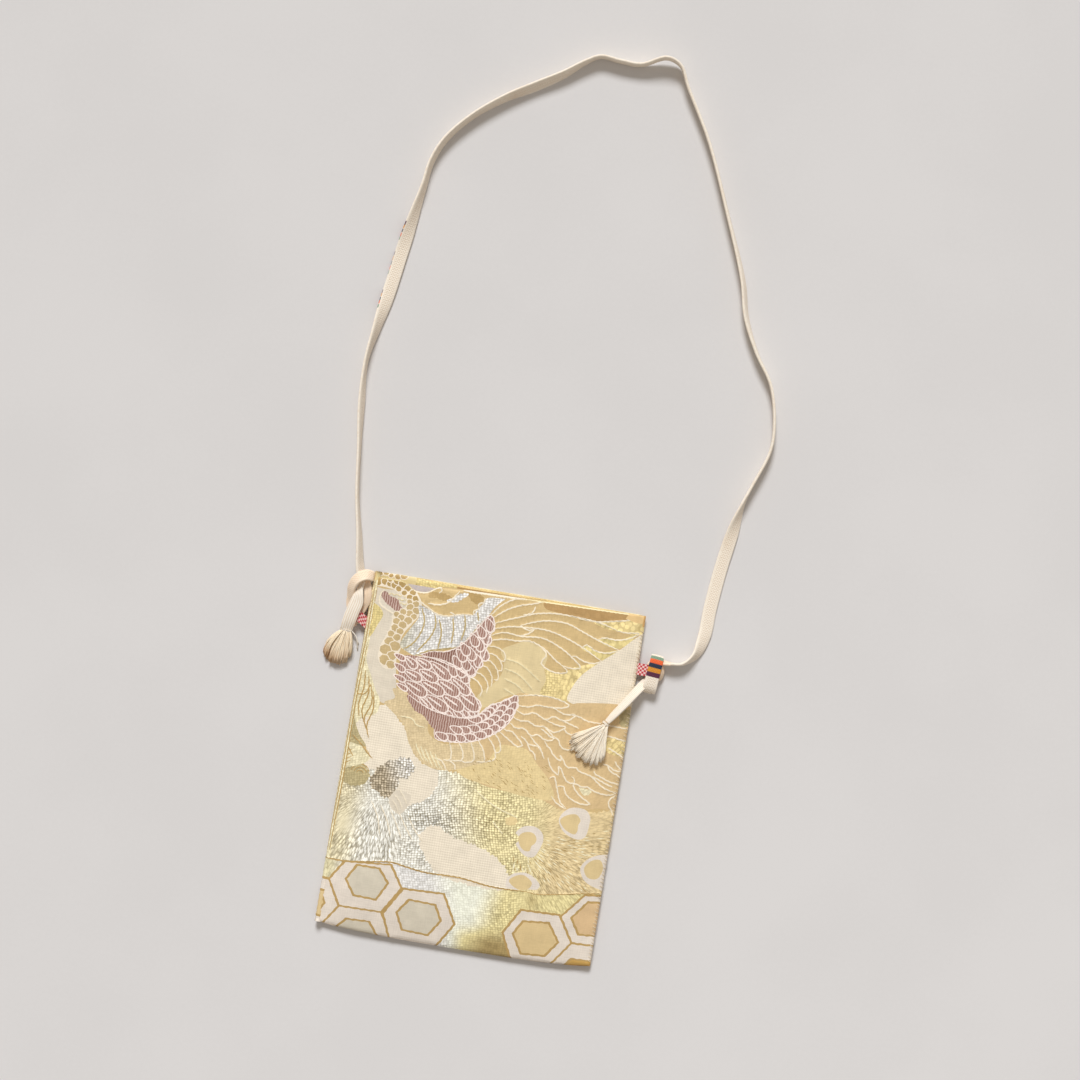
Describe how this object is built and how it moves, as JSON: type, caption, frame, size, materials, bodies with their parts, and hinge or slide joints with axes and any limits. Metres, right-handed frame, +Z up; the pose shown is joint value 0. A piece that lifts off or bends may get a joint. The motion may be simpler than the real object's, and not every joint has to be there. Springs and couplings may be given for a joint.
{
  "type": "shoulder bag",
  "caption": "Flat brocade cloth pouch, open at its mouth, with a long flat woven cord as its strap, hitched through tape loops in the side seams and ending in tassels.",
  "frame": {"origin": "on the floor under the middle of the pouch and its side loops, which lies on its back", "axes": "+X to the right across the pouch, +Y from its bottom towards its mouth, +Z up out of its front"},
  "size_m": [0.3423, 0.746, 0.0193],
  "materials": {
    "front_brocade": "gold and silver brocade, slightly shiny",
    "back_brocade": "gold brocade, slightly shiny",
    "lining_cloth": "plain weave, matt",
    "loop_tape": "red and white woven tape",
    "woven_cord": "ribbed flat silk cord, cream, striped near its ends",
    "tassel_threads": "loose silk threads"
  },
  "bodies": {
    "root": {"front_panel": "front_brocade", "back_panel": "back_brocade", "front_lining": "lining_cloth", "back_lining": "lining_cloth", "left_loop": "loop_tape", "right_loop": "loop_tape", "strap": "woven_cord", "left_knot": "woven_cord", "right_knot": "woven_cord", "left_tail": "woven_cord", "right_tail": "woven_cord", "left_tassel": "tassel_threads", "right_tassel": "tassel_threads"}
  },
  "joints": []
}
